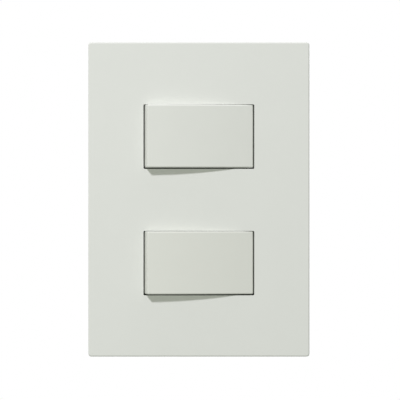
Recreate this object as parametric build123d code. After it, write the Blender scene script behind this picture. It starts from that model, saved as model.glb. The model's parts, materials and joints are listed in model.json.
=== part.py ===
from build123d import *
import os
from math import cos, radians, sin, sqrt, tan

# Double light switch for a wall box: a faceplate with two rocker switch modules on a support frame.
# Every piece is drawn face on, in millimetres: x to the right, y up, z out of the wall, the wall at z = 0.
# The finished pieces are then stood up: the wall is the XZ plane, +Z is up and +Y goes into the wall.

# Faceplate
OPENING_WIDTH = 41.6
OPENING_HEIGHT = 24.2
OPENING_CORNER_RADIUS = 0.4
OPENING_DROP = 0.18  # openings below the middle of the modules
PLATE_SIDE_BORDER = 20.7  # plate to the left and right of the openings: 83 mm wide in all
PLATE_END_BORDER = 23.15  # plate above and below the openings: 118 mm tall in all
PLATE_DEPTH = 8.0
PLATE_FRONT_WALL = 2.2
PLATE_SIDE_WALL = 2.0
PLATE_CORNER_RADIUS = 1.1
PLATE_EDGE_RADIUS = 0.5
COLLAR_WALL = 1.5  # rim round each opening, behind the front wall
COLLAR_DEPTH = 1.6
RIB_THICKNESS = 1.2
RIB_DEPTH = 1.2
MIDDLE_RIB_SPACING = 12.0
END_RIB_SPACING = 24.0
PRY_NOTCH_WIDTH = 10.0
PRY_NOTCH_DEPTH = 1.2

# Rocker
ROCKER_TILT = 5.5  # each way from the middle of its swing
ROCKER_END_GAP = 0.2
ROCKER_SIDE_GAP = 0.32
ROCKER_PROUD = 1.65  # ends of the face above the plate in the middle of the swing
ROCKER_CROWN = 0.8  # rise of the face's middle above its ends
ROCKER_WALL = 1.6
ROCKER_EDGE_RADIUS = 0.5
PIVOT_DEPTH = 4.1  # behind the plate's front
SKIRT_DROP = 0.7  # rocker's skirt below the pivot
ROCKER_RIB_THICKNESS = 1.2
ROCKER_RIB_DEPTH = 1.4
ROCKER_RIB_SPACING = 26.0
LUG_THICKNESS = 1.4
LUG_RADIUS = 2.6
TRUNNION_RADIUS = 1.5
TRUNNION_CLEARANCE = 0.05
TUBE_WALL = 1.0
TUBE_END_WALL = 1.7
TUBE_REACH = 1.5  # below the carrier's deck

# Plunger and spring
PLUNGER_RADIUS = 2.1
PLUNGER_CLEARANCE = 0.08
PLUNGER_GUIDE = 4.9  # length held in the tube at rest
PLUNGER_SHOULDER = 2.1  # guide below the tube
PLUNGER_TIP_RADIUS = 1.3
PLUNGER_TIP_GAP = 0.06
SPIGOT_RADIUS = 1.1
SPIGOT_LENGTH = 1.2
SPRING_WIRE_RADIUS = 0.2
SPRING_WIRE_SIDES = 5  # the round wire is drawn with flats
SPRING_BORE_GAP = 0.3
SPRING_SEAT_GAP = 0.05
SPRING_TURNS = 3

# Carrier
SWING_ROOM = 1.24  # deck below the lowest point of the rocker's swing
DECK_THICKNESS = 1.5
DECK_SIDE_LAP = 0.5  # deck behind the plate, above and below each opening
DECK_SIDE_WALL = 1.2
DECK_SIDE_RISE = 0.6
SLOT_ROOM = 0.4
EAR_THICKNESS = 1.4
EAR_RADIUS = 3.2
EAR_FOOT = 5.2  # half width of the ear where it stands on the deck
EAR_GAP = 0.2
END_WALL = 1.5
END_WALL_WIDTH = 19.0
FLANGE_REACH = 2.7
FLANGE_THICKNESS = 1.2
CLIP_REACH = 1.2
CLIP_HEIGHT = 2.25
CLIP_WIDTH = 3.5
CLIP_SPACING = 13.5
CLIP_GAP = 0.15
CLIP_SLIT = 0.8  # between the latch leg and the sprung arm of each clip
CLIP_ARM_DROP = 1.2  # arm below its clip
LEG_DROP = 5.8  # legs below the deck
LATCH_DROP = 4.1  # rear face of the base's latch nubs below the deck
LATCH_HEIGHT = 2.0
LATCH_REACH = 1.3
LATCH_WIDTH = 6.0
LATCH_ROOM = 0.3
LATCH_GAP = 0.1
LIP_WALL = 1.0
LIP_DEPTH = 1.2
LIP_GAP = 0.15
PILLAR_LENGTH = 2.4
PILLAR_WIDTH = 1.3
PILLAR_GAP = 0.1

# Base
BASE_LEG_GAP = 0.2
BASE_WALL = 1.4
BASE_SIDE_STEP = 0.1  # base inside the carrier's deck, top and bottom
BASE_CORNER_RADIUS = 1.0
REAR_RIB_THICKNESS = 1.2
REAR_RIB_DEPTH = 2.0
FLOOR_THICKNESS = 1.5
TOWER_WALL = 1.2
TOWER_REAR_WALL = 1.5
TOWER_HEAD_ROOM = 1.0
TOWER_CHAMFER = 0.8
DRIVER_HOLE_RADIUS = 2.6
STOP_POST_LENGTH = 1.2
STOP_POST_WIDTH = 1.5
STOP_GAP = 0.1
STOP_REACH = 8.2

# Contacts and terminals
FULCRUM_DROP = 13.0  # rocking axis of the strip below the rocker's pivot
STRIP_LENGTH = 19.8
STRIP_WIDTH = 5.0
STRIP_THICKNESS = 0.8
STRIP_CORNER_CUT = 0.8
STRIP_EAR_RADIUS = 0.6
STRIP_EAR_CLEARANCE = 0.05
STRIP_EAR_REACH = 0.3
STRIP_SIDE_GAP = 0.4
TIP_REACH = 8.0
TIP_HEAD_RADIUS = 1.6
TIP_HEAD_HEIGHT = 0.6
TIP_CHAMFER = 0.2  # edge of the flat fixed tip
TIP_DOME_RADIUS = 3.8
CONTACT_GAP = 0.1  # left between the two tips when the contact is closed
BRASS_THICKNESS = 1.0
POST_LENGTH = 4.4
POST_RISE = 1.1  # posts above the rocking axis
TAIL_WIDTH = 3.0
TAIL_GAP = 0.2
PAD_LENGTH = 8.0
PAD_WIDTH = 10.0
PAD_GAP = 0.2
PAD_LEDGE = 1.0
PAD_INNER_LEDGE = 0.8
PAD_CORNER_CUT = 0.5
BEND_RADIUS = 0.4
TONGUE_WIDTH = 4.8
TONGUE_MARGIN = 0.6
COLLAR_RADIUS = 2.9  # plunged collar round each tapped hole
COLLAR_RISE = 1.5
SCREW_RADIUS = 1.75
SCREW_CLEARANCE = 0.05
SCREW_HEAD_RADIUS = 3.0
SCREW_HEAD_HEIGHT = 2.0
SCREW_TIP_RISE = 0.8
SCREW_SLOT_WIDTH = 0.9
SCREW_SLOT_DEPTH = 1.0
WIRE_ROOM = 2.2
WIRE_ENTRY_WIDTH = 7.2
WIRE_ENTRY_FUNNEL = 0.5
CLAMP_SIDE_GAP = 0.5
CLAMP_END_GAP = 0.2
CLAMP_THICKNESS = 1.0
CLAMP_RIDGE_SPACING = 5.0
CLAMP_RIDGE_HEIGHT = 0.3
CLAMP_HOLE_ROOM = 0.25

# Support frame
SUPPORT_THICKNESS = 2.0
SUPPORT_SIDE_BAR = 12.5
SUPPORT_END_BAR = 18.15
SUPPORT_CORNER_RADIUS = 3.0
SUPPORT_RIB_THICKNESS = 1.5
SUPPORT_RIB_RISE = 1.8
SUPPORT_RIB_GAP = 0.4
WINDOW_GAP = 0.2
WINDOW_END_GAP = 0.4
WINDOW_SCREW_BAR = 4.82  # support between each end of the window and the axis of the box screw
WINDOW_CORNER_RADIUS = 1.0
SOCKET_SPACING = 44.0
SOCKET_INSET = 5.0  # socket from the support's top and bottom edges
SOCKET_WALL = 1.2
SOCKET_LEDGE_THICKNESS = 1.2
SOCKET_LEDGE_HEIGHT = 3.0
SOCKET_LEDGE_REACH = 1.2
HOOK_WIDTH = 6.0
HOOK_THICKNESS = 1.6
HOOK_BARB = 1.1
HOOK_BARB_HEIGHT = 1.8
HOOK_GAP = 0.15
HOOK_SIDE_GAP = 0.3
HOOK_LEDGE_GAP = 0.4
HOOK_BACK_ROOM = 1.4

# Box screws
BOX_SCREW_SPACING = 83.5
BOX_SCREW_RADIUS = 1.75
BOX_SCREW_NECK_RADIUS = 1.45
BOX_SCREW_LENGTH = 22.0
BOX_SCREW_HEAD_RADIUS = 3.3
BOX_SCREW_HEAD_HEIGHT = 2.2
BOX_SCREW_SLOT_WIDTH = 1.0
BOX_SCREW_SLOT_DEPTH = 1.1
SCREW_POINT = 1.0
SUPPORT_SLOT_ROOM = 0.65
SUPPORT_SLOT_TRAVEL = 2.8

# Places worked out from the sizes
# The wall box sets the support's window, and a module sits at each end of it: the middle bay stays empty.
DECK_HALF_HEIGHT = OPENING_HEIGHT / 2 + OPENING_DROP + DECK_SIDE_LAP
WINDOW_HALF_HEIGHT = BOX_SCREW_SPACING / 2 - WINDOW_SCREW_BAR
MODULE_PITCH = WINDOW_HALF_HEIGHT - WINDOW_END_GAP - DECK_HALF_HEIGHT  # 23.75 mm, one bay
ROCKER_OFFSET = MODULE_PITCH
PLATE_WIDTH = OPENING_WIDTH + 2 * PLATE_SIDE_BORDER
PLATE_HEIGHT = 2 * ROCKER_OFFSET + OPENING_HEIGHT + 2 * PLATE_END_BORDER
PLATE_INNER_FACE = PLATE_DEPTH - PLATE_FRONT_WALL

PIVOT = PLATE_DEPTH - PIVOT_DEPTH
ROCKER_RADIUS = OPENING_WIDTH / 2 - ROCKER_END_GAP  # round ends, concentric with the pivot
FACE_END = PIVOT_DEPTH + ROCKER_PROUD  # ends of the face above the pivot
FACE_HALF = sqrt(ROCKER_RADIUS**2 - FACE_END**2)
ROCKER_HALF_HEIGHT = OPENING_HEIGHT / 2 - ROCKER_SIDE_GAP
TILT = radians(ROCKER_TILT)
ROCK = radians(2 * ROCKER_TILT)  # the strip rocks twice as far as the rocker, the other way

SWING_LOW = PIVOT - SKIRT_DROP * cos(TILT) - ROCKER_RADIUS * sin(TILT)
DECK_TOP = SWING_LOW - SWING_ROOM
DECK_BOTTOM = DECK_TOP - DECK_THICKNESS
CARRIER_INNER = OPENING_WIDTH / 2
CARRIER_OUTER = CARRIER_INNER + END_WALL
BEARING_ROOM = ROCKER_HALF_HEIGHT - ROCKER_WALL
EAR_OUTER = BEARING_ROOM - EAR_GAP
EAR_INNER = EAR_OUTER - EAR_THICKNESS
LUG_OUTER = EAR_INNER - EAR_GAP
LUG_INNER = LUG_OUTER - LUG_THICKNESS

TUBE_BORE = PLUNGER_RADIUS + PLUNGER_CLEARANCE
TUBE_RADIUS = TUBE_BORE + TUBE_WALL
TUBE_BOTTOM = DECK_BOTTOM - TUBE_REACH
FACE_MIDDLE = PIVOT + FACE_END + ROCKER_CROWN
BORE_END = FACE_MIDDLE - ROCKER_WALL - TUBE_END_WALL
GUIDE_TOP = TUBE_BOTTOM + PLUNGER_GUIDE
GUIDE_BOTTOM = TUBE_BOTTOM - PLUNGER_SHOULDER

FULCRUM = PIVOT - FULCRUM_DROP
HALF_STRIP = STRIP_THICKNESS / 2
TIP_CENTRE = FULCRUM + HALF_STRIP + PLUNGER_TIP_RADIUS + PLUNGER_TIP_GAP
DOME_OFFSET = TIP_DOME_RADIUS - HALF_STRIP - TIP_HEAD_HEIGHT  # centre of the tip's dome above the strip
FIXED_TIP_X = TIP_REACH * cos(ROCK) + DOME_OFFSET * sin(ROCK)
CLOSED_DOME = FULCRUM - TIP_REACH * sin(ROCK) + DOME_OFFSET * cos(ROCK)
FIXED_TIP_TOP = CLOSED_DOME - TIP_DOME_RADIUS - CONTACT_GAP
BRASS_TOP = FIXED_TIP_TOP - TIP_HEAD_HEIGHT
FLOOR_TOP = BRASS_TOP - BRASS_THICKNESS
STOP_OUTER = STOP_REACH + STOP_POST_LENGTH / 2
STOP_TOP = FULCRUM - STOP_OUTER * tan(ROCK) - HALF_STRIP / cos(ROCK) - STOP_GAP
POST_INNER = STRIP_WIDTH / 2 + STRIP_SIDE_GAP

BASE_HALF = CARRIER_INNER - BASE_LEG_GAP
BASE_INNER = BASE_HALF - BASE_WALL
BASE_HALF_HEIGHT = DECK_HALF_HEIGHT - BASE_SIDE_STEP
BASE_INNER_HEIGHT = BASE_HALF_HEIGHT - BASE_WALL
FLOOR_BOTTOM = FLOOR_TOP - FLOOR_THICKNESS
PAD_OUTER = BASE_INNER - PAD_GAP
PAD_INNER = PAD_OUTER - PAD_LENGTH
CAVITY_INNER = PAD_INNER + PAD_INNER_LEDGE
CAVITY_HALF_HEIGHT = PAD_WIDTH / 2 - PAD_LEDGE
CLAMP_X = (CAVITY_INNER + BASE_INNER) / 2
CLAMP_TOP = FLOOR_TOP - WIRE_ROOM
CLAMP_BOTTOM = CLAMP_TOP - CLAMP_THICKNESS
HEAD_BOTTOM = CLAMP_BOTTOM - SCREW_HEAD_HEIGHT
TOWER_INNER_FACE = HEAD_BOTTOM - TOWER_HEAD_ROOM
TOWER_BOTTOM = TOWER_INNER_FACE - TOWER_REAR_WALL

WINDOW_HALF = CARRIER_OUTER + WINDOW_GAP
SUPPORT_HALF = WINDOW_HALF + SUPPORT_SIDE_BAR
SUPPORT_HALF_HEIGHT = WINDOW_HALF_HEIGHT + SUPPORT_END_BAR
FLANGE_TOP = SUPPORT_THICKNESS + FLANGE_THICKNESS
SOCKET_OUTER = SUPPORT_HALF_HEIGHT - SOCKET_INSET
SOCKET_TOP = SOCKET_LEDGE_HEIGHT + SOCKET_LEDGE_THICKNESS
POCKET_OUTER = SOCKET_OUTER - SOCKET_WALL
LEDGE_EDGE = POCKET_OUTER - SOCKET_LEDGE_REACH
HOOK_OUTER = LEDGE_EDGE - HOOK_LEDGE_GAP
HOOK_INNER = HOOK_OUTER - HOOK_THICKNESS
POCKET_INNER = HOOK_INNER - HOOK_BACK_ROOM
POCKET_HALF = HOOK_WIDTH / 2 + HOOK_SIDE_GAP


# Small helpers
def block(x_span, y_span, z_span):
    """A box given by its span along each axis."""
    centre = [(low + high) / 2 for low, high in (x_span, y_span, z_span)]
    size = [abs(high - low) for low, high in (x_span, y_span, z_span)]
    return Pos(*centre) * Box(*size)


def both(half):
    """The span from minus half to plus half."""
    return (-half, half)


def side_span(side, near, far):
    """A span on the left (-1) or right (+1) side."""
    return (side * near, side * far)


def cylinder_along_y(x, z, radius, y_span):
    """A round pin or hole that runs along y."""
    middle = (y_span[0] + y_span[1]) / 2
    return Pos(x, middle, z) * Rot(90, 0, 0) * Cylinder(radius, abs(y_span[1] - y_span[0]))


def cylinder_along_z(x, y, radius, z_span):
    """A round pin or hole that runs along z."""
    middle = (z_span[0] + z_span[1]) / 2
    return Pos(x, y, middle) * Cylinder(radius, abs(z_span[1] - z_span[0]))


def panel(width, height, radius, z_span):
    """A flat plate with rounded corners."""
    return Pos(0, 0, z_span[0]) * extrude(RectangleRounded(width, height, radius), z_span[1] - z_span[0])


def prism_along_y(points, y_span):
    """A straight prism along y with the given outline in x and z."""
    outline = Plane.XZ * make_face(Polyline(*points, close=True))
    return Pos(0, y_span[1], 0) * extrude(outline, y_span[1] - y_span[0], dir=(0, -1, 0))


def turned(*outline):
    """A solid of revolution about z, from a closed outline of radius and height."""
    return revolve(Plane.XZ * make_face(outline), Axis.Z)


# Faceplate
def plate_hook(end):
    """One snap hook that catches under the ledge of a support socket."""
    barb_top = SOCKET_LEDGE_HEIGHT - HOOK_GAP
    barb_tip = barb_top - HOOK_BARB_HEIGHT
    outline = [
        (HOOK_INNER, PLATE_INNER_FACE),
        (HOOK_OUTER, PLATE_INNER_FACE),
        (HOOK_OUTER, barb_top),
        (HOOK_OUTER + HOOK_BARB, barb_top),
        (HOOK_OUTER, barb_tip),
        (HOOK_INNER, barb_tip),
    ]
    face = make_face(Plane.YZ * Polyline(*[(end * y, z) for y, z in outline], close=True))
    return extrude(face, HOOK_WIDTH / 2, both=True)


def plate_ribs():
    """Shallow stiffening ribs on the back of the front wall."""
    depth = (PLATE_INNER_FACE - RIB_DEPTH, PLATE_INNER_FACE)
    inner_half = PLATE_WIDTH / 2 - PLATE_SIDE_WALL
    inner_half_height = PLATE_HEIGHT / 2 - PLATE_SIDE_WALL
    collar_half = OPENING_WIDTH / 2 + COLLAR_WALL
    collar_end = ROCKER_OFFSET + OPENING_HEIGHT / 2
    half = RIB_THICKNESS / 2
    ribs = []
    for side in (-1, 1):
        middle = side * MIDDLE_RIB_SPACING / 2
        ribs.append(block(both(inner_half), (middle - half, middle + half), depth))
        lengthwise = side * END_RIB_SPACING / 2
        for end in (-1, 1):
            centre = end * ROCKER_OFFSET
            across = side_span(side, collar_half, inner_half)
            ribs.append(block(across, (centre - half, centre + half), depth))
            upright = side_span(end, collar_end, inner_half_height)
            ribs.append(block((lengthwise - half, lengthwise + half), upright, depth))
    return ribs


def faceplate():
    shell = panel(PLATE_WIDTH, PLATE_HEIGHT, PLATE_CORNER_RADIUS, (0, PLATE_DEPTH))
    shell = fillet(shell.faces().sort_by(Axis.Z)[-1].edges(), PLATE_EDGE_RADIUS)
    inner_width = PLATE_WIDTH - 2 * PLATE_SIDE_WALL
    inner_height = PLATE_HEIGHT - 2 * PLATE_SIDE_WALL
    shell -= block(both(inner_width / 2), both(inner_height / 2), (0, PLATE_INNER_FACE))
    for rib in plate_ribs():
        shell += rib
    collar_width = OPENING_WIDTH + 2 * COLLAR_WALL
    collar_height = OPENING_HEIGHT + 2 * COLLAR_WALL
    collar_span = (PLATE_INNER_FACE - COLLAR_DEPTH, PLATE_INNER_FACE)
    opening_span = (0, PLATE_DEPTH)
    for end in (-1, 1):
        centre = Pos(0, end * ROCKER_OFFSET - OPENING_DROP, 0)
        shell += centre * block(both(collar_width / 2), both(collar_height / 2), collar_span)
        shell -= centre * panel(OPENING_WIDTH, OPENING_HEIGHT, OPENING_CORNER_RADIUS, opening_span)
        for side in (-1, 1):
            shell += Pos(side * SOCKET_SPACING / 2, 0, 0) * plate_hook(end)
    notch_end = (-PLATE_HEIGHT / 2, -inner_height / 2)
    return shell - block(both(PRY_NOTCH_WIDTH / 2), notch_end, (0, PRY_NOTCH_DEPTH))


# Support frame
def socket_block(side, end):
    """The raised block of one socket."""
    centre = side * SOCKET_SPACING / 2
    half = POCKET_HALF + SOCKET_WALL
    y_span = side_span(end, POCKET_INNER - SOCKET_WALL, SOCKET_OUTER)
    return block((centre - half, centre + half), y_span, (0, SOCKET_TOP))


def socket_pocket(side, end):
    """The stepped pocket of one socket: a ledge stays at its outer side."""
    centre = side * SOCKET_SPACING / 2
    x_span = (centre - POCKET_HALF, centre + POCKET_HALF)
    under = block(x_span, side_span(end, POCKET_INNER, POCKET_OUTER), (0, SOCKET_LEDGE_HEIGHT))
    mouth = block(x_span, side_span(end, POCKET_INNER, LEDGE_EDGE), (0, SOCKET_TOP))
    return under + mouth


def support_frame():
    width = 2 * SUPPORT_HALF
    height = 2 * SUPPORT_HALF_HEIGHT
    rib_top = SUPPORT_THICKNESS + SUPPORT_RIB_RISE
    frame = panel(width, height, SUPPORT_CORNER_RADIUS, (0, rib_top))
    inset = 2 * SUPPORT_RIB_THICKNESS
    inner_radius = SUPPORT_CORNER_RADIUS - SUPPORT_RIB_THICKNESS
    frame -= panel(width - inset, height - inset, inner_radius, (SUPPORT_THICKNESS, rib_top))
    rib_inner = CARRIER_OUTER + FLANGE_REACH + SUPPORT_RIB_GAP
    for side in (-1, 1):
        rib_span = side_span(side, rib_inner, rib_inner + SUPPORT_RIB_THICKNESS)
        frame += block(rib_span, both(WINDOW_HALF_HEIGHT), (SUPPORT_THICKNESS, rib_top))
        for end in (-1, 1):
            frame += socket_block(side, end)
            frame -= socket_pocket(side, end)
    frame -= panel(2 * WINDOW_HALF, 2 * WINDOW_HALF_HEIGHT, WINDOW_CORNER_RADIUS, (0, rib_top))
    slot_width = 2 * (BOX_SCREW_NECK_RADIUS + SUPPORT_SLOT_ROOM)
    slot = Rot(0, 0, 90) * SlotOverall(slot_width + SUPPORT_SLOT_TRAVEL, slot_width)
    for end in (-1, 1):
        frame -= Pos(0, end * BOX_SCREW_SPACING / 2, 0) * extrude(slot, SUPPORT_THICKNESS)
    return frame


def box_screw():
    """Slotted pan head screw: a thin neck passes through the support, the thread starts behind it."""
    head_top = SUPPORT_THICKNESS + BOX_SCREW_HEAD_HEIGHT
    crown_radius = BOX_SCREW_HEAD_RADIUS - BOX_SCREW_HEAD_HEIGHT / 3
    outline = Polyline(
        (0, head_top),
        (crown_radius, head_top),
        (BOX_SCREW_HEAD_RADIUS, head_top - BOX_SCREW_HEAD_HEIGHT / 3),
        (BOX_SCREW_HEAD_RADIUS, SUPPORT_THICKNESS),
        (BOX_SCREW_NECK_RADIUS, SUPPORT_THICKNESS),
        (BOX_SCREW_NECK_RADIUS, 0),
        (BOX_SCREW_RADIUS, 0),
        (BOX_SCREW_RADIUS, -BOX_SCREW_LENGTH),
        (BOX_SCREW_RADIUS - SCREW_POINT, -BOX_SCREW_LENGTH - SCREW_POINT),
        (0, -BOX_SCREW_LENGTH - SCREW_POINT),
        close=True,
    )
    screw = turned(outline)
    slot_span = (head_top - BOX_SCREW_SLOT_DEPTH, head_top)
    return screw - block(both(BOX_SCREW_HEAD_RADIUS), both(BOX_SCREW_SLOT_WIDTH / 2), slot_span)


def box_screws():
    screw = box_screw()
    return Compound([Pos(0, end * BOX_SCREW_SPACING / 2, 0) * screw for end in (-1, 1)])


# Rocker and its spring plunger, drawn in the middle of the swing
def rocker_form(face_end, end_radius, half_height):
    """Solid with a crowned face and ends that are concentric with the pivot."""
    half = sqrt(end_radius**2 - face_end**2)
    low_half = sqrt(end_radius**2 - SKIRT_DROP**2)
    outline = [
        ThreePointArc((-half, face_end), (0, face_end + ROCKER_CROWN), (half, face_end)),
        ThreePointArc((half, face_end), (end_radius, 0), (low_half, -SKIRT_DROP)),
        Line((low_half, -SKIRT_DROP), (-low_half, -SKIRT_DROP)),
        ThreePointArc((-low_half, -SKIRT_DROP), (-end_radius, 0), (-half, face_end)),
    ]
    side = Pos(0, 0, PIVOT) * (Plane.XZ * make_face(outline))
    return extrude(side, half_height, both=True)


def rocker_shell():
    """The key itself: crowned face, skirts all round, open at the back."""
    outer = rocker_form(FACE_END, ROCKER_RADIUS, ROCKER_HALF_HEIGHT)
    bottom_edges = outer.edges().group_by(Axis.Z)[0]
    outer = fillet(outer.edges() - bottom_edges, ROCKER_EDGE_RADIUS)
    return outer - rocker_form(FACE_END - ROCKER_WALL, ROCKER_RADIUS - ROCKER_WALL, BEARING_ROOM)


def rocker_ribs():
    """Ribs behind the face: one lengthwise, two across."""
    half = ROCKER_RIB_THICKNESS / 2
    root = PIVOT + FACE_END - ROCKER_WALL / 2
    depth = (root - ROCKER_WALL / 2 - ROCKER_RIB_DEPTH, root)
    ribs = [block(both(FACE_HALF), both(half), depth)]
    for side in (-1, 1):
        centre = side * ROCKER_RIB_SPACING / 2
        ribs.append(block((centre - half, centre + half), both(BEARING_ROOM), depth))
    return ribs


def rocker():
    key = rocker_shell()
    for rib in rocker_ribs():
        key += rib
    root = FACE_MIDDLE - ROCKER_WALL / 2
    key += cylinder_along_z(0, 0, TUBE_RADIUS, (TUBE_BOTTOM, root))
    key -= cylinder_along_z(0, 0, TUBE_BORE, (TUBE_BOTTOM, BORE_END))
    for end in (-1, 1):
        lug_span = side_span(end, LUG_INNER, LUG_OUTER)
        key += block(both(LUG_RADIUS), lug_span, (PIVOT, root))
        key += cylinder_along_y(0, PIVOT, LUG_RADIUS, lug_span)
        key += cylinder_along_y(0, PIVOT, TRUNNION_RADIUS, side_span(end, LUG_INNER, EAR_OUTER))
    return key


def plunger():
    """Stepped pin with a round nose."""
    side = Polyline(
        (0, TIP_CENTRE - PLUNGER_TIP_RADIUS),
        (0, GUIDE_TOP + SPIGOT_LENGTH),
        (SPIGOT_RADIUS, GUIDE_TOP + SPIGOT_LENGTH),
        (SPIGOT_RADIUS, GUIDE_TOP),
        (PLUNGER_RADIUS, GUIDE_TOP),
        (PLUNGER_RADIUS, GUIDE_BOTTOM),
        (PLUNGER_TIP_RADIUS, TIP_CENTRE),
    )
    nose = CenterArc((0, TIP_CENTRE), PLUNGER_TIP_RADIUS, 0, -90)
    return turned(side, nose)


def rocker_spring():
    """Compression spring between the plunger's shoulder and the end of the bore."""
    first = GUIDE_TOP + SPRING_SEAT_GAP + SPRING_WIRE_RADIUS
    last = BORE_END - SPRING_SEAT_GAP - SPRING_WIRE_RADIUS
    radius = TUBE_BORE - SPRING_BORE_GAP - SPRING_WIRE_RADIUS
    coil = Helix((last - first) / SPRING_TURNS, last - first, radius)
    wire = RegularPolygon(SPRING_WIRE_RADIUS, SPRING_WIRE_SIDES)
    section = Plane(origin=coil @ 0, z_dir=coil % 0) * wire
    return Pos(0, 0, first) * sweep(section, path=coil, is_frenet=True)


# Carrier
def latch_span():
    """Rear and front of the base's latch nubs."""
    rear = DECK_BOTTOM - LATCH_DROP
    return (rear, rear + LATCH_HEIGHT)


def carrier_end(side):
    """End wall with its front flange: a latch leg with its window, between two sprung arms with clips."""
    width = both(END_WALL_WIDTH / 2)
    through = side_span(side, CARRIER_INNER, CARRIER_OUTER)
    leg_bottom = DECK_BOTTOM - LEG_DROP
    wall = block(through, width, (leg_bottom, FLANGE_TOP))
    flange_span = side_span(side, CARRIER_OUTER, CARRIER_OUTER + FLANGE_REACH)
    wall += block(flange_span, width, (SUPPORT_THICKNESS, FLANGE_TOP))
    clip_bottom = -CLIP_GAP - CLIP_HEIGHT
    clip = [
        (side * CARRIER_OUTER, -CLIP_GAP),
        (side * (CARRIER_OUTER + CLIP_REACH), -CLIP_GAP),
        (side * CARRIER_OUTER, clip_bottom),
    ]
    arm_inner = (CLIP_SPACING - CLIP_WIDTH) / 2
    for end in (-1, 1):
        centre = end * CLIP_SPACING / 2
        wall += prism_along_y(clip, (centre - CLIP_WIDTH / 2, centre + CLIP_WIDTH / 2))
        slit = side_span(end, arm_inner - CLIP_SLIT, arm_inner)
        wall -= block(through, slit, (leg_bottom, DECK_BOTTOM))
        below_arm = side_span(end, arm_inner - CLIP_SLIT, END_WALL_WIDTH / 2)
        wall -= block(through, below_arm, (leg_bottom, clip_bottom - CLIP_ARM_DROP))
    rear, front = latch_span()
    window = (rear - LATCH_GAP, front + LATCH_ROOM)
    return wall - block(through, both(LATCH_WIDTH / 2 + LATCH_ROOM), window)


def bearing_ear(end):
    """Upright ear with the bearing hole for one trunnion."""
    span = side_span(end, EAR_INNER, EAR_OUTER)
    foot = [(-EAR_FOOT, DECK_TOP), (EAR_FOOT, DECK_TOP), (EAR_RADIUS, PIVOT), (-EAR_RADIUS, PIVOT)]
    ear = prism_along_y(foot, sorted(span)) + cylinder_along_y(0, PIVOT, EAR_RADIUS, span)
    return ear - cylinder_along_y(0, PIVOT, TRUNNION_RADIUS + TRUNNION_CLEARANCE, span)


def carrier_lip():
    """Low rim under the deck that centres the base."""
    half = BASE_INNER - LIP_GAP
    half_height = BASE_INNER_HEIGHT - LIP_GAP
    span = (DECK_BOTTOM - LIP_DEPTH, DECK_BOTTOM)
    inside = block(both(half - LIP_WALL), both(half_height - LIP_WALL), span)
    return block(both(half), both(half_height), span) - inside


def carrier():
    deck = block(both(CARRIER_OUTER), both(DECK_HALF_HEIGHT), (DECK_BOTTOM, DECK_TOP))
    deck += carrier_lip()
    slot_half = TUBE_RADIUS + (PIVOT - DECK_BOTTOM) * sin(TILT) + SLOT_ROOM
    slot_half_height = TUBE_RADIUS + SLOT_ROOM
    deck -= panel(2 * slot_half, 2 * slot_half_height, TUBE_WALL, (DECK_BOTTOM, DECK_TOP))
    pillar_x = (CLAMP_X - PILLAR_LENGTH / 2, CLAMP_X + PILLAR_LENGTH / 2)
    for end in (-1, 1):
        rim = side_span(end, DECK_HALF_HEIGHT - DECK_SIDE_WALL, DECK_HALF_HEIGHT)
        deck += block(both(CARRIER_INNER), rim, (DECK_TOP, DECK_TOP + DECK_SIDE_RISE))
        deck += bearing_ear(end)
        deck += carrier_end(end)
        pillar_y = side_span(end, PAD_WIDTH / 2 - PILLAR_WIDTH, PAD_WIDTH / 2)
        for side in (-1, 1):
            pillar_span = side_span(side, *pillar_x)
            deck += block(pillar_span, pillar_y, (BRASS_TOP + PILLAR_GAP, DECK_BOTTOM))
    return deck


# Base
def terminal_tower(side):
    """Hollow tower round one wire clamp, without its openings."""
    x_span = side_span(side, CAVITY_INNER - TOWER_WALL, BASE_HALF)
    tower = block(x_span, both(CAVITY_HALF_HEIGHT + TOWER_WALL), (TOWER_BOTTOM, FLOOR_TOP))
    return chamfer(tower.faces().sort_by(Axis.Z)[0].edges(), TOWER_CHAMFER)


def tower_openings(side):
    """Clamp cavity, funnelled wire entry at the end and screwdriver hole at the rear."""
    x_span = side_span(side, CAVITY_INNER, BASE_INNER)
    cavity = block(x_span, both(CAVITY_HALF_HEIGHT), (TOWER_INNER_FACE, FLOOR_TOP))
    through = side_span(side, BASE_INNER, BASE_HALF)
    entry = block(through, both(WIRE_ENTRY_WIDTH / 2), (CLAMP_TOP, FLOOR_TOP))
    mouth = Rectangle(WIRE_ENTRY_WIDTH + 2 * WIRE_ENTRY_FUNNEL, WIRE_ROOM + 2 * WIRE_ENTRY_FUNNEL)
    middle = (side * BASE_HALF, 0, FLOOR_TOP - WIRE_ROOM / 2)
    outer_face = Plane(middle, x_dir=(0, 1, 0), z_dir=(-side, 0, 0))
    funnel = extrude(outer_face * mouth, WIRE_ENTRY_FUNNEL, taper=45)
    driver = cylinder_along_z(side * CLAMP_X, 0, DRIVER_HOLE_RADIUS, (TOWER_BOTTOM, TOWER_INNER_FACE))
    return cavity + entry + funnel + driver


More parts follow.
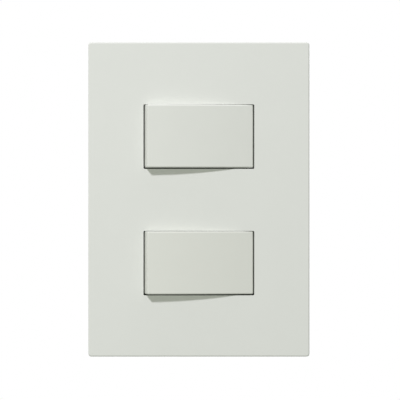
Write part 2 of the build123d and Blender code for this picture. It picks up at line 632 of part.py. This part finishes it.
def base():
    box = block(both(BASE_HALF), both(BASE_HALF_HEIGHT), (FLOOR_BOTTOM, DECK_BOTTOM))
    box = fillet(box.edges().filter_by(Axis.Z), BASE_CORNER_RADIUS)
    box -= block(both(BASE_INNER), both(BASE_INNER_HEIGHT), (FLOOR_TOP, DECK_BOTTOM))
    rear, front = latch_span()
    for side in (-1, 1):
        box += terminal_tower(side)
        box -= tower_openings(side)
        nub = [
            (side * BASE_HALF, front),
            (side * BASE_HALF, rear),
            (side * (BASE_HALF + LATCH_REACH), rear),
        ]
        box += prism_along_y(nub, both(LATCH_WIDTH / 2))
    rib_span = both(CAVITY_INNER - TOWER_WALL)
    box += block(rib_span, both(REAR_RIB_THICKNESS / 2), (FLOOR_BOTTOM - REAR_RIB_DEPTH, FLOOR_BOTTOM))
    post_x = (-STOP_OUTER, STOP_POST_LENGTH - STOP_OUTER)
    post_near = TAIL_WIDTH / 2 + TAIL_GAP
    for end in (-1, 1):
        box += block(post_x, side_span(end, post_near, post_near + STOP_POST_WIDTH), (FLOOR_TOP, STOP_TOP))
    return box


# Contacts and terminals
def moving_contact():
    """Rocking strip with two round ears, drawn level."""
    level = (FULCRUM - HALF_STRIP, FULCRUM + HALF_STRIP)
    strip = block(both(STRIP_LENGTH / 2), both(STRIP_WIDTH / 2), level)
    strip = chamfer(strip.edges().filter_by(Axis.Z), STRIP_CORNER_CUT)
    ear_end = POST_INNER + BRASS_THICKNESS + STRIP_EAR_REACH
    for end in (-1, 1):
        ear_span = side_span(end, STRIP_WIDTH / 2 - STRIP_THICKNESS / 2, ear_end)
        strip += cylinder_along_y(0, FULCRUM, STRIP_EAR_RADIUS, ear_span)
    return strip


def moving_contact_tip():
    """Domed contact button under the right end of the strip."""
    under = FULCRUM - HALF_STRIP
    bottom = under - TIP_HEAD_HEIGHT
    rim = FULCRUM + DOME_OFFSET - sqrt(TIP_DOME_RADIUS**2 - TIP_HEAD_RADIUS**2)
    side = Polyline((TIP_HEAD_RADIUS, rim), (TIP_HEAD_RADIUS, under), (0, under), (0, bottom))
    dome = RadiusArc((0, bottom), (TIP_HEAD_RADIUS, rim), -TIP_DOME_RADIUS)
    return Pos(TIP_REACH, 0, 0) * turned(side, dome)


def fixed_contact_tip():
    """Flat contact button on the switched terminal, where the moving tip comes down."""
    outline = Polyline(
        (0, FIXED_TIP_TOP),
        (TIP_HEAD_RADIUS - TIP_CHAMFER, FIXED_TIP_TOP),
        (TIP_HEAD_RADIUS, FIXED_TIP_TOP - TIP_CHAMFER),
        (TIP_HEAD_RADIUS, BRASS_TOP),
        (0, BRASS_TOP),
        close=True,
    )
    return Pos(FIXED_TIP_X, 0, 0) * turned(outline)


def terminal_pad(side):
    """Clamp end of a terminal, with a plunged collar round the tapped hole."""
    sheet = (FLOOR_TOP, BRASS_TOP)
    pad = block(side_span(side, PAD_INNER, PAD_OUTER), both(PAD_WIDTH / 2), sheet)
    pad = chamfer(pad.edges().filter_by(Axis.Z), PAD_CORNER_CUT)
    pad += cylinder_along_z(side * CLAMP_X, 0, COLLAR_RADIUS, (BRASS_TOP, BRASS_TOP + COLLAR_RISE))
    hole_span = (FLOOR_TOP, BRASS_TOP + COLLAR_RISE)
    return pad - cylinder_along_z(side * CLAMP_X, 0, SCREW_RADIUS + SCREW_CLEARANCE, hole_span)


def fulcrum_channel():
    """Sheet folded up into two posts, notched for the strip's ears."""
    top = FULCRUM + POST_RISE
    along = both(POST_LENGTH / 2)
    outer = block(along, both(POST_INNER + BRASS_THICKNESS), (FLOOR_TOP, top))
    outer = fillet(outer.edges().filter_by(Axis.X).group_by(Axis.Z)[0], BEND_RADIUS + BRASS_THICKNESS)
    inner = block(along, both(POST_INNER), (BRASS_TOP, top))
    inner = fillet(inner.edges().filter_by(Axis.X).group_by(Axis.Z)[0], BEND_RADIUS)
    notch = STRIP_EAR_RADIUS + STRIP_EAR_CLEARANCE
    across = both(POST_INNER + BRASS_THICKNESS)
    channel = outer - inner - block(both(notch), across, (FULCRUM, top))
    return channel - cylinder_along_y(0, FULCRUM, notch, across)


def common_terminal():
    tail_span = (-PAD_INNER, -POST_LENGTH / 2)
    tail = block(tail_span, both(TAIL_WIDTH / 2), (FLOOR_TOP, BRASS_TOP))
    return terminal_pad(-1) + tail + fulcrum_channel()


def switched_terminal():
    sheet = (FLOOR_TOP, BRASS_TOP)
    tongue_end = FIXED_TIP_X - TIP_HEAD_RADIUS - TONGUE_MARGIN
    return terminal_pad(1) + block((tongue_end, PAD_INNER), both(TONGUE_WIDTH / 2), sheet)


def terminal_screw():
    """Slotted clamp screw, its head facing the rear."""
    tip = BRASS_TOP + COLLAR_RISE + SCREW_TIP_RISE
    outline = Polyline(
        (0, HEAD_BOTTOM),
        (SCREW_HEAD_RADIUS, HEAD_BOTTOM),
        (SCREW_HEAD_RADIUS, CLAMP_BOTTOM),
        (SCREW_RADIUS, CLAMP_BOTTOM),
        (SCREW_RADIUS, tip),
        (0, tip),
        close=True,
    )
    screw = turned(outline)
    slot_span = (HEAD_BOTTOM, HEAD_BOTTOM + SCREW_SLOT_DEPTH)
    return screw - block(both(SCREW_HEAD_RADIUS), both(SCREW_SLOT_WIDTH / 2), slot_span)


def terminal_screws():
    screw = terminal_screw()
    return Compound([Pos(side * CLAMP_X, 0, 0) * screw for side in (-1, 1)])


def clamp_plate(side):
    """Square wire clamp with two gripping ridges across the wires."""
    x_span = side_span(side, CAVITY_INNER + CLAMP_END_GAP, BASE_INNER - CLAMP_END_GAP)
    half_height = CAVITY_HALF_HEIGHT - CLAMP_SIDE_GAP
    plate = block(x_span, both(half_height), (CLAMP_BOTTOM, CLAMP_TOP))
    for step in (-1, 1):
        centre = side * CLAMP_X + step * CLAMP_RIDGE_SPACING / 2
        ridge = [
            (centre - CLAMP_RIDGE_HEIGHT, CLAMP_TOP),
            (centre, CLAMP_TOP + CLAMP_RIDGE_HEIGHT),
            (centre + CLAMP_RIDGE_HEIGHT, CLAMP_TOP),
        ]
        plate += prism_along_y(ridge, both(half_height))
    hole_radius = SCREW_RADIUS + CLAMP_HOLE_ROOM
    return plate - cylinder_along_z(side * CLAMP_X, 0, hole_radius, (CLAMP_BOTTOM, CLAMP_TOP))


def clamp_plates():
    return Compound([clamp_plate(side) for side in (-1, 1)])


# Rest position: both rockers have their right end pressed in, which leaves the contacts open
def tilted(piece):
    """Turn a rocker piece about the pivot to its rest position."""
    return piece.rotate(Axis((0, 0, PIVOT), (0, 1, 0)), ROCKER_TILT)


def rocked(piece):
    """Turn a contact piece about its fulcrum to its rest position."""
    return piece.rotate(Axis((0, 0, FULCRUM), (0, 1, 0)), -2 * ROCKER_TILT)


def module_pieces():
    """The pieces of one switch module, by name, centred on the module."""
    return {
        "rocker": tilted(rocker()),
        "plunger": tilted(plunger()),
        "rocker_spring": tilted(rocker_spring()),
        "carrier": carrier(),
        "base": base(),
        "moving_contact": rocked(moving_contact()),
        "moving_contact_tip": rocked(moving_contact_tip()),
        "common_terminal": common_terminal(),
        "switched_terminal": switched_terminal(),
        "fixed_contact_tip": fixed_contact_tip(),
        "terminal_screws": terminal_screws(),
        "clamp_plates": clamp_plates(),
    }


def all_pieces():
    """Every piece of the switch, by name, face on."""
    pieces = {
        "faceplate": faceplate(),
        "support_frame": support_frame(),
        "box_screws": box_screws(),
    }
    module = module_pieces()
    for place, end in (("upper", 1), ("lower", -1)):
        for name, piece in module.items():
            pieces[f"{place}_{name}"] = Pos(0, end * ROCKER_OFFSET, 0) * piece
    return pieces


os.makedirs("parts", exist_ok=True)
for name, piece in all_pieces().items():
    export_step(Plane.XZ * piece, f"parts/{name}.step")
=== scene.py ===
import json
import math

import bmesh
import bpy
from mathutils import Matrix, Vector

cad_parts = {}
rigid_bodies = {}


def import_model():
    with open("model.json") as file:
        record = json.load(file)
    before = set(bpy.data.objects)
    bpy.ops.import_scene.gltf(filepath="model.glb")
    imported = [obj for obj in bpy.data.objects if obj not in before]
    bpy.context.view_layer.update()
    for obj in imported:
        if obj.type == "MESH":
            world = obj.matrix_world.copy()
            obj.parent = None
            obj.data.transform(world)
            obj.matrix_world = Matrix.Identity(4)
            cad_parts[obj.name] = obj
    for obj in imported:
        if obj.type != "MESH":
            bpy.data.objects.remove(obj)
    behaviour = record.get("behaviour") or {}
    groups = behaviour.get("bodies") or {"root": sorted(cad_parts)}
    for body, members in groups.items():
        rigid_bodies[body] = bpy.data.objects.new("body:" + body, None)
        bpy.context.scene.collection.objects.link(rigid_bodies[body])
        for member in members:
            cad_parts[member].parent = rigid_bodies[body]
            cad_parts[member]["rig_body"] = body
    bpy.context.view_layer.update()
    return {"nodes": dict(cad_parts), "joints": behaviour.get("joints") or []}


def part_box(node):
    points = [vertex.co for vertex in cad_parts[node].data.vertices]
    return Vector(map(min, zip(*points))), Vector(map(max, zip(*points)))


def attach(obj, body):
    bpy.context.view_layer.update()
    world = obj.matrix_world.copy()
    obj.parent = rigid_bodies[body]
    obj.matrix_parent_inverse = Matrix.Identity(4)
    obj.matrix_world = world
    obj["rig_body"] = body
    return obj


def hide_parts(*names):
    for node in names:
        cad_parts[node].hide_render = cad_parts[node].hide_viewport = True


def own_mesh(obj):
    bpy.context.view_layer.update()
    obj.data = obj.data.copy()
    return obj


# Looks of the double light switch: finishes, threads, springs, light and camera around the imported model.
# Everything is in metres: x to the right, z up, +y into the wall, the wall at y = 0.

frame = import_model()

MILLIMETRE = 1e-3
MICROMETRE = 1e-6
RIGHT_ANGLE = math.radians(90)
MODULES = ("upper", "lower")

# Camera: square on to the plate, far off
VIEW_CENTRE_X = 0.42 * MILLIMETRE
VIEW_CENTRE_Z = -0.22 * MILLIMETRE
VIEW_WIDTH = 150.12 * MILLIMETRE
CAMERA_DISTANCE = 0.9
SENSOR_WIDTH = 36.0  # sensor and lens are counted in millimetres
CLIP_START = 0.01
CLIP_END = 20.0

# Light: one small key from the upper left, a soft light in front on the left, a narrow one straight above
# the plate for its upper edges, one behind for the back, and an even fill all round
KEY_DISTANCE = 1.8
KEY_LEFT = 0.43  # to the left, for each unit out of the wall
KEY_UP = 0.92  # upwards, for each unit out of the wall
KEY_SIZE = 0.2
KEY_POWER = 22.5
KEY_COLOUR = (0.963, 0.941, 1.0)
SOFT_LIGHT_PLACE = (-0.17, -0.5, -0.05)
SOFT_LIGHT_SIZE = 0.3
SOFT_LIGHT_POWER = 0.36
TOP_LIGHT_PLACE = (0.0, -0.06, 0.9)
TOP_LIGHT_WIDTH = 0.4
TOP_LIGHT_DEPTH = 0.06
TOP_LIGHT_POWER = 1.2
BACK_LIGHT_PLACE = (0.55, 1.05, 0.35)
BACK_LIGHT_SIZE = 0.6
BACK_LIGHT_POWER = 7.0
FILL_STRENGTH = 0.317
FILL_COLOUR = (0.957, 1.0, 0.892)

# Background
WHITE = (1.0, 1.0, 1.0)
WHITE_STRENGTH = 1.0

# Plastics: sizes of their features, and how far colour, gloss and relief vary
NOISE_LOW = 0.3  # nearly all of a noise lies between these two
NOISE_HIGH = 0.7
MOTTLE_SIZE = 9 * MILLIMETRE
MOTTLE_SHARE = 0.012
GLOSS_SIZE = 1.4 * MILLIMETRE
GLOSS_REACH = 0.05
WAVE_SIZE = 3.5 * MILLIMETRE
WAVE_DEPTH_SHARE = 1.5  # of the depth of the grain
GRAIN_SIZE = 0.35 * MILLIMETRE
PLASTIC_IOR = 1.5

# Metals: the same for tarnish and scratches
TARNISH_SIZE = 2.2 * MILLIMETRE
SCRATCH_SIZE = 0.9 * MILLIMETRE
SCRATCH_SQUEEZE = (1, 6, 6)  # leaves the scratches six times as long along x
SCRATCH_DEPTH = 2 * MICROMETRE
SCRATCH_SMOOTHER = 0.08
SCRATCH_ROUGHER = 0.12

# Finishes of the plastics: colour, roughness and depth of the grain
PLASTICS = {
    "plate_plastic": ((0.735, 0.75, 0.71), 0.5, 8 * MICROMETRE),
    "rocker_plastic": ((0.737, 0.751, 0.705), 0.42, 4 * MICROMETRE),
    "lower_rocker_plastic": ((0.72, 0.733, 0.678), 0.42, 4 * MICROMETRE),  # a little yellower
    "support_plastic": ((0.52, 0.53, 0.52), 0.55, 10 * MICROMETRE),
    # nearly black so that the gaps round the keys show deep shade: painted shade, as the carrier's own colour
    # is not known
    "carrier_plastic": ((0.045, 0.046, 0.045), 0.5, 8 * MICROMETRE),
    "base_plastic": ((0.6, 0.61, 0.58), 0.55, 10 * MICROMETRE),
    "plunger_plastic": ((0.78, 0.74, 0.62), 0.35, 3 * MICROMETRE),
}

# Finishes of the metals: bright colour, dull colour and roughness
METALS = {
    "spring_steel": ((0.55, 0.55, 0.56), (0.42, 0.42, 0.43), 0.28),
    "contact_brass": ((0.78, 0.58, 0.27), (0.62, 0.43, 0.19), 0.3),
    "contact_silver": ((0.86, 0.85, 0.82), (0.7, 0.69, 0.65), 0.25),
    "screw_steel": ((0.5, 0.5, 0.49), (0.36, 0.36, 0.35), 0.3),
    "clamp_steel": ((0.6, 0.6, 0.58), (0.46, 0.46, 0.44), 0.36),
}

# Finish of each node, or of each kind of node that both modules have
FINISHES = {
    "faceplate": "plate_plastic",
    "support_frame": "support_plastic",
    "box_screws": "screw_steel",
    "rocker": "rocker_plastic",
    "lower_rocker": "lower_rocker_plastic",
    "plunger": "plunger_plastic",
    "rocker_spring": "spring_steel",
    "carrier": "carrier_plastic",
    "base": "base_plastic",
    "moving_contact": "contact_brass",
    "moving_contact_tip": "contact_silver",
    "common_terminal": "contact_brass",
    "switched_terminal": "contact_brass",
    "fixed_contact_tip": "contact_silver",
    "terminal_screws": "screw_steel",
    "clamp_plates": "clamp_steel",
}

# Added meshes
SHARP_ANGLE = math.radians(30)  # edges that turn by more stay sharp
MERGE_DISTANCE = 1e-7  # points nearer than this become one

# Screws, drawn along z with the top of the head at zero and the point below it
SCREW_SEGMENTS = 32
THREAD_PITCH = 0.6 * MILLIMETRE
THREAD_RADIUS = 1.75 * MILLIMETRE
THREAD_DEPTH = 0.33 * MILLIMETRE
THREAD_PROFILE = ((0.0, 0.0), (0.15, 0.0), (0.45, 1.0), (0.62, 1.0), (0.92, 0.0))  # shares of pitch and depth
CORE_RADIUS = THREAD_RADIUS - THREAD_DEPTH
POINT_RADIUS = CORE_RADIUS / 2
HEAD_ROUNDING = 0.25 * MILLIMETRE
HEAD_PROFILE = ((1.0, 0.35), (0.7, 0.1), (0.0, 0.0))  # shares of the way from crown to rim, and of the height
BOX_SCREW = {
    "head_radius": 3.3 * MILLIMETRE,
    "head_height": 2.2 * MILLIMETRE,
    "crown_radius": 2.4 * MILLIMETRE,
    "neck_length": 2.0 * MILLIMETRE,
    "point": 1.0 * MILLIMETRE,
    "slot_width": 1.0 * MILLIMETRE,
    "slot_depth": 1.1 * MILLIMETRE,
}
TERMINAL_SCREW = {
    "head_radius": 3.0 * MILLIMETRE,
    "head_height": 2.0 * MILLIMETRE,
    "crown_radius": 2.75 * MILLIMETRE,
    "neck_length": 0.4 * MILLIMETRE,
    "point": 0.4 * MILLIMETRE,
    "slot_width": 0.9 * MILLIMETRE,
    "slot_depth": 1.0 * MILLIMETRE,
}

# Plunger springs
WIRE_RADIUS = 0.2 * MILLIMETRE
WIRE_SEGMENTS = 10
COIL_SEGMENTS = 28
CLOSED_TURNS = 1  # turns that lie on each other at each end
OPEN_TURNS = 4


# Shader helpers
def new_material(name):
    """A new node material, with its tree and its Principled shader."""
    material = bpy.data.materials.new(name)
    material.use_nodes = True
    shader = material.node_tree.nodes["Principled BSDF"]
    return material, material.node_tree, shader


def object_coordinates(tree):
    """Places on the object, which move with it."""
    return tree.nodes.new("ShaderNodeTexCoord").outputs["Object"]


def noise(tree, coordinates, feature, detail=4.0, roughness=0.55):
    """Noise whose features are about the given size in metres."""
    node = tree.nodes.new("ShaderNodeTexNoise")
    node.inputs["Scale"].default_value = 1 / feature
    node.inputs["Detail"].default_value = detail
    node.inputs["Roughness"].default_value = roughness
    tree.links.new(coordinates, node.inputs["Vector"])
    return node.outputs["Fac"]


def spread(tree, factor, low, high):
    """Maps the middle of a noise to the range from low to high."""
    node = tree.nodes.new("ShaderNodeMapRange")
    node.inputs["From Min"].default_value = NOISE_LOW
    node.inputs["From Max"].default_value = NOISE_HIGH
    node.inputs["To Min"].default_value = low
    node.inputs["To Max"].default_value = high
    tree.links.new(factor, node.inputs["Value"])
    return node.outputs["Result"]


def colour_mix(tree, factor, first, second):
    """A colour between first and second."""
    node = tree.nodes.new("ShaderNodeMix")
    node.data_type = "RGBA"
    node.inputs["A"].default_value = (*first, 1)
    node.inputs["B"].default_value = (*second, 1)
    tree.links.new(factor, node.inputs["Factor"])
    return node.outputs["Result"]


def bump(tree, height, depth, below=None):
    """Surface relief of the given depth in metres, over an earlier relief if there is one."""
    node = tree.nodes.new("ShaderNodeBump")
    node.inputs["Strength"].default_value = 1.0
    node.inputs["Distance"].default_value = depth
    tree.links.new(height, node.inputs["Height"])
    if below is not None:
        tree.links.new(below, node.inputs["Normal"])
    return node.outputs["Normal"]


def shade(colour, amount):
    """A colour made lighter or darker by a small share."""
    return tuple(channel * (1 + amount) for channel in colour)


# Materials
def moulded_plastic(name, colour, roughness, grain_depth):
    """Moulded plastic: eroded fine grain, slow waviness, faint mottling of colour and gloss."""
    material, tree, shader = new_material(name)
    place = object_coordinates(tree)
    patches = noise(tree, place, MOTTLE_SIZE, detail=3)
    tint = colour_mix(tree, patches, shade(colour, -MOTTLE_SHARE), shade(colour, MOTTLE_SHARE))
    tree.links.new(tint, shader.inputs["Base Color"])
    gloss = spread(tree, noise(tree, place, GLOSS_SIZE), roughness - GLOSS_REACH, roughness + GLOSS_REACH)
    tree.links.new(gloss, shader.inputs["Roughness"])
    waves = bump(tree, noise(tree, place, WAVE_SIZE, detail=2), WAVE_DEPTH_SHARE * grain_depth)
    grain = bump(tree, noise(tree, place, GRAIN_SIZE, detail=5), grain_depth, waves)
    tree.links.new(grain, shader.inputs["Normal"])
    shader.inputs["IOR"].default_value = PLASTIC_IOR
    return material


def metal(name, bright, dull, roughness):
    """Bare metal: rolled grain, fine scratches and duller patches."""
    material, tree, shader = new_material(name)
    place = object_coordinates(tree)
    tarnish = noise(tree, place, TARNISH_SIZE, detail=5)
    tree.links.new(colour_mix(tree, tarnish, dull, bright), shader.inputs["Base Color"])
    squeeze = tree.nodes.new("ShaderNodeMapping")
    squeeze.inputs["Scale"].default_value = SCRATCH_SQUEEZE
    tree.links.new(place, squeeze.inputs["Vector"])
    scratches = noise(tree, squeeze.outputs["Vector"], SCRATCH_SIZE, detail=6, roughness=0.7)
    gloss = spread(tree, scratches, roughness - SCRATCH_SMOOTHER, roughness + SCRATCH_ROUGHER)
    tree.links.new(gloss, shader.inputs["Roughness"])
    tree.links.new(bump(tree, scratches, SCRATCH_DEPTH), shader.inputs["Normal"])
    shader.inputs["Metallic"].default_value = 1.0
    return material


MATERIALS = {}
for name, (colour, roughness, grain_depth) in PLASTICS.items():
    MATERIALS[name] = moulded_plastic(name, colour, roughness, grain_depth)
for name, (bright, dull, roughness) in METALS.items():
    MATERIALS[name] = metal(name, bright, dull, roughness)


def finish_of(node):
    """The finish of a node: its own, or else that of its kind, which is its name without the module."""
    kind = node.partition("_")[2]
    return FINISHES[node] if node in FINISHES else FINISHES[kind]


def dress(node, part):
    """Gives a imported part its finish."""
    part.data.materials.clear()
    part.data.materials.append(MATERIALS[finish_of(node)])


for node, part in frame["nodes"].items():
    dress(node, part)


# Added pieces
def add_piece(name, mesh, finish, body, node):
    """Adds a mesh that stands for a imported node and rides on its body."""
    mesh.materials.append(MATERIALS[finish])
    mesh.shade_smooth()
    mesh.set_sharp_from_angle(angle=SHARP_ANGLE)
    piece = bpy.data.objects.new(name, mesh)
    bpy.context.scene.collection.objects.link(piece)
    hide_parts(node)
    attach(piece, body)
    return piece


def mesh_of(form, name):
    """The mesh of a finished form, with its faces looking outwards."""
    bmesh.ops.recalc_face_normals(form, faces=form.faces)
    mesh = bpy.data.meshes.new(name)
    form.to_mesh(mesh)
    form.free()
    return mesh


def thread(form, bottom, top):
    """Winds a thread between two heights that fades into its core at both ends. Returns its two end caps."""
    turns = (top - bottom) / THREAD_PITCH + 2  # one more at each end, pressed flat there
    rows = []
    for step in range(math.ceil(turns * SCREW_SEGMENTS) + 1):
        angle = math.tau * step / SCREW_SEGMENTS
        start = bottom + THREAD_PITCH * (step / SCREW_SEGMENTS - 1)
        row = []
        for along, rise in THREAD_PROFILE:
            height = min(max(start + along * THREAD_PITCH, bottom), top)
            fade = min((height - bottom) / THREAD_PITCH, (top - height) / THREAD_PITCH, 1)
            radius = CORE_RADIUS + THREAD_DEPTH * rise * fade
            row.append(form.verts.new((radius * math.cos(angle), radius * math.sin(angle), height)))
        rows.append(row)
    for step, (row, beside) in enumerate(zip(rows, rows[1:])):
        corners = list(zip(row, beside))
        if step + 1 + SCREW_SEGMENTS < len(rows):
            corners.append((rows[step + SCREW_SEGMENTS][0], rows[step + 1 + SCREW_SEGMENTS][0]))
        for (first, second), (third, fourth) in zip(corners, corners[1:]):
            form.faces.new((first, second, fourth, third))
    bmesh.ops.remove_doubles(form, verts=form.verts, dist=MERGE_DISTANCE)
    caps = bmesh.ops.holes_fill(form, edges=form.edges)["faces"]
    return sorted(caps, key=lambda cap: cap.calc_center_median().z)


def carry_on(form, cap, rings):
    """Carries a round end cap on through rings of (radius, height)."""
    for radius, height in rings:
        cap = bmesh.ops.extrude_discrete_faces(form, faces=[cap])["faces"][0]
        for corner in cap.verts:
            corner.co = (*(radius * corner.co.xy.normalized()), height)


def head_rings(size):
    """Rings of the neck and the pan head, from the thread up."""
    head_bottom = -size["head_height"]
    head_radius = size["head_radius"]
    crown_radius = size["crown_radius"]
    rings = [
        (CORE_RADIUS, head_bottom),
        (head_radius - HEAD_ROUNDING, head_bottom),
        (head_radius, head_bottom + HEAD_ROUNDING),
    ]
    for outward, down in HEAD_PROFILE:
        rings.append((crown_radius + outward * (head_radius - crown_radius), down * head_bottom))
    return rings


def cut_slot(mesh, size):
    """Cuts the driver's slot across the head of a screw."""
    slot_length = 3 * size["head_radius"]  # past the rim on both sides
    slot_height = 2 * size["slot_depth"]  # half of it is above the head
    slot_form = bmesh.new()
    slot_size = Matrix.Diagonal((slot_length, size["slot_width"], slot_height, 1))
    bmesh.ops.create_cube(slot_form, size=1, matrix=slot_size)
    slot = bpy.data.objects.new("slot", mesh_of(slot_form, "slot"))
    screw = bpy.data.objects.new("screw", mesh)
    cut = screw.modifiers.new("cut", "BOOLEAN")
    cut.object = slot
    cut.solver = "EXACT"
    for each in (screw, slot):
        bpy.context.scene.collection.objects.link(each)
    slotted = bpy.data.meshes.new_from_object(screw.evaluated_get(bpy.context.evaluated_depsgraph_get()))
    for each in (screw, slot):
        bpy.data.objects.remove(each)
    return slotted


def screw_form(size, length):
    """A whole screw of the given length: slotted head, neck, thread and blunt point."""
    form = bmesh.new()
    thread_top = -size["head_height"] - size["neck_length"]
    bottom_cap, top_cap = thread(form, size["point"] - length, thread_top)
    carry_on(form, bottom_cap, [(POINT_RADIUS, -length)])
    carry_on(form, top_cap, head_rings(size))
    return cut_slot(mesh_of(form, "screw"), size)


def add_screws(node, size, facing):
    """Replaces a node of two slotted screws; facing is the way that their heads look along y."""
    low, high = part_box(node)
    screw = screw_form(size, high.y - low.y)
    head_y = high.y if facing > 0 else low.y
    spread_along_x = high.x - low.x > high.z - low.z
    middle = (low + high) / 2
    offset = Vector((high.x - middle.x - size["head_radius"], 0, 0))
    if not spread_along_x:
        offset = Vector((0, 0, high.z - middle.z - size["head_radius"]))
    turn = Matrix.Rotation(-facing * RIGHT_ANGLE, 4, "X")
    form = bmesh.new()
    for side in (-1, 1):
        place = Vector((middle.x, head_y, middle.z)) + side * offset
        placed = screw.copy()
        placed.transform(Matrix.Translation(place) @ turn)
        form.from_mesh(placed)
    body = frame["nodes"][node]["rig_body"]
    add_piece(node + "_threaded", mesh_of(form, node + "_threaded"), "screw_steel", body, node)


def spring_height(turn, span):
    """Height of the wire after so many turns: the end turns are closed, the middle ones are open."""
    closed_pitch = 2 * WIRE_RADIUS
    open_pitch = (span - 2 * CLOSED_TURNS * closed_pitch) / OPEN_TURNS
    opened = min(max(turn - CLOSED_TURNS, 0), OPEN_TURNS)
    return closed_pitch * (turn - opened) + open_pitch * opened


def spring_form(radius, length):
    """Round wire wound about z, from zero up to the given length."""
    form = bmesh.new()
    turns = 2 * CLOSED_TURNS + OPEN_TURNS
    span = length - 2 * WIRE_RADIUS
    rings = []
    for step in range(turns * COIL_SEGMENTS + 1):
        angle = math.tau * step / COIL_SEGMENTS
        height = WIRE_RADIUS + spring_height(step / COIL_SEGMENTS, span)
        ring = []
        for corner in range(WIRE_SEGMENTS):
            around = math.tau * corner / WIRE_SEGMENTS
            reach = radius + WIRE_RADIUS * math.cos(around)
            rise = WIRE_RADIUS * math.sin(around)
            place = (reach * math.cos(angle), reach * math.sin(angle), height + rise)
            ring.append(form.verts.new(place))
        rings.append(ring)
    for ring, beside in zip(rings, rings[1:]):
        for corner in range(WIRE_SEGMENTS):
            after = (corner + 1) % WIRE_SEGMENTS
            form.faces.new((ring[corner], beside[corner], beside[after], ring[after]))
    form.faces.new(rings[0])
    form.faces.new(rings[-1])
    return form


def add_spring(joint):
    """Replaces the spring that a plunger's joint deforms with a coil of round wire on the joint's parent
    body.
    """
    deformed = joint["deforming_nodes"][0]
    node = deformed["node"]
    axis = Vector(deformed["axis"])
    seat = Vector(deformed["fixed_end_m"])
    points = [vertex.co - seat for vertex in frame["nodes"][node].data.vertices]
    heights = [point.dot(axis) for point in points]
    length = max(heights) - min(heights)
    radius = max((point - point.dot(axis) * axis).length for point in points) - WIRE_RADIUS
    mesh = mesh_of(spring_form(radius, length), node + "_round_wire")
    turn = axis.to_track_quat("Z", "Y").to_matrix().to_4x4()
    mesh.transform(Matrix.Translation(seat + min(heights) * axis) @ turn)
    piece = add_piece(node + "_round_wire", mesh, "spring_steel", joint["parent"], node)
    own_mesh(piece)


add_screws("box_screws", BOX_SCREW, facing=-1)
for module in MODULES:
    add_screws(module + "_terminal_screws", TERMINAL_SCREW, facing=1)
for joint in frame["joints"]:
    if joint.get("deforming_nodes"):
        add_spring(joint)


# Background, light and camera
def background(tree, colour, strength):
    """The light of an even background."""
    node = tree.nodes.new("ShaderNodeBackground")
    node.inputs["Color"].default_value = (*colour, 1)
    node.inputs["Strength"].default_value = strength
    return node.outputs["Background"]


def add_world():
    """An even fill that looks white to the camera, in reflections and through clear things."""
    world = bpy.data.worlds.new("studio")
    bpy.context.scene.world = world
    world.use_nodes = True
    tree = world.node_tree
    tree.nodes.clear()
    path = tree.nodes.new("ShaderNodeLightPath")
    seen = path.outputs["Is Camera Ray"]
    for ray in ("Is Glossy Ray", "Is Transmission Ray"):
        either = tree.nodes.new("ShaderNodeMath")
        either.operation = "MAXIMUM"
        tree.links.new(seen, either.inputs[0])
        tree.links.new(path.outputs[ray], either.inputs[1])
        seen = either.outputs["Value"]
    mix = tree.nodes.new("ShaderNodeMixShader")
    tree.links.new(seen, mix.inputs["Fac"])
    tree.links.new(background(tree, FILL_COLOUR, FILL_STRENGTH), mix.inputs[1])
    tree.links.new(background(tree, WHITE, WHITE_STRENGTH), mix.inputs[2])
    output = tree.nodes.new("ShaderNodeOutputWorld")
    tree.links.new(mix.outputs["Shader"], output.inputs["Surface"])


def add_light(name, place, size, power, colour):
    """A square light at the given place that looks at the middle of the switch."""
    lamp = bpy.data.lights.new(name, "AREA")
    lamp.size = size
    lamp.energy = power
    lamp.color = colour
    light = bpy.data.objects.new(name, lamp)
    light.location = place
    light.rotation_euler = Vector(place).to_track_quat("Z", "Y").to_euler()
    bpy.context.scene.collection.objects.link(light)
    return light


def add_key_light():
    """Small disc light on the upper left, in front of the wall."""
    towards = Vector((-KEY_LEFT, -1, KEY_UP)).normalized()
    key = add_light("key", towards * KEY_DISTANCE, KEY_SIZE, KEY_POWER, KEY_COLOUR)
    key.data.shape = "DISK"


def add_soft_light():
    """Square light in front of the plate, on the left."""
    add_light("soft", SOFT_LIGHT_PLACE, SOFT_LIGHT_SIZE, SOFT_LIGHT_POWER, FILL_COLOUR)


def add_top_light():
    """Narrow light above the plate that looks straight down."""
    top = add_light("top", TOP_LIGHT_PLACE, TOP_LIGHT_WIDTH, TOP_LIGHT_POWER, KEY_COLOUR)
    top.data.shape = "RECTANGLE"
    top.data.size_y = TOP_LIGHT_DEPTH
    top.rotation_euler = (0, 0, 0)


def add_back_light():
    """Large square light behind the wall, for the side that the plate keeps the key from."""
    add_light("back", BACK_LIGHT_PLACE, BACK_LIGHT_SIZE, BACK_LIGHT_POWER, KEY_COLOUR)


def add_camera():
    """Camera straight in front of the plate, level with the middle of the view."""
    camera_data = bpy.data.cameras.new("camera")
    camera_data.sensor_width = SENSOR_WIDTH
    camera_data.lens = SENSOR_WIDTH * CAMERA_DISTANCE / VIEW_WIDTH
    camera_data.clip_start = CLIP_START
    camera_data.clip_end = CLIP_END
    camera = bpy.data.objects.new("camera", camera_data)
    plate_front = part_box("faceplate")[0].y
    camera.location = (VIEW_CENTRE_X, plate_front - CAMERA_DISTANCE, VIEW_CENTRE_Z)
    camera.rotation_euler = (RIGHT_ANGLE, 0, 0)
    bpy.context.scene.collection.objects.link(camera)
    bpy.context.scene.camera = camera


add_world()
add_key_light()
add_soft_light()
add_top_light()
add_back_light()
add_camera()
bpy.context.scene.view_settings.view_transform = "Standard"
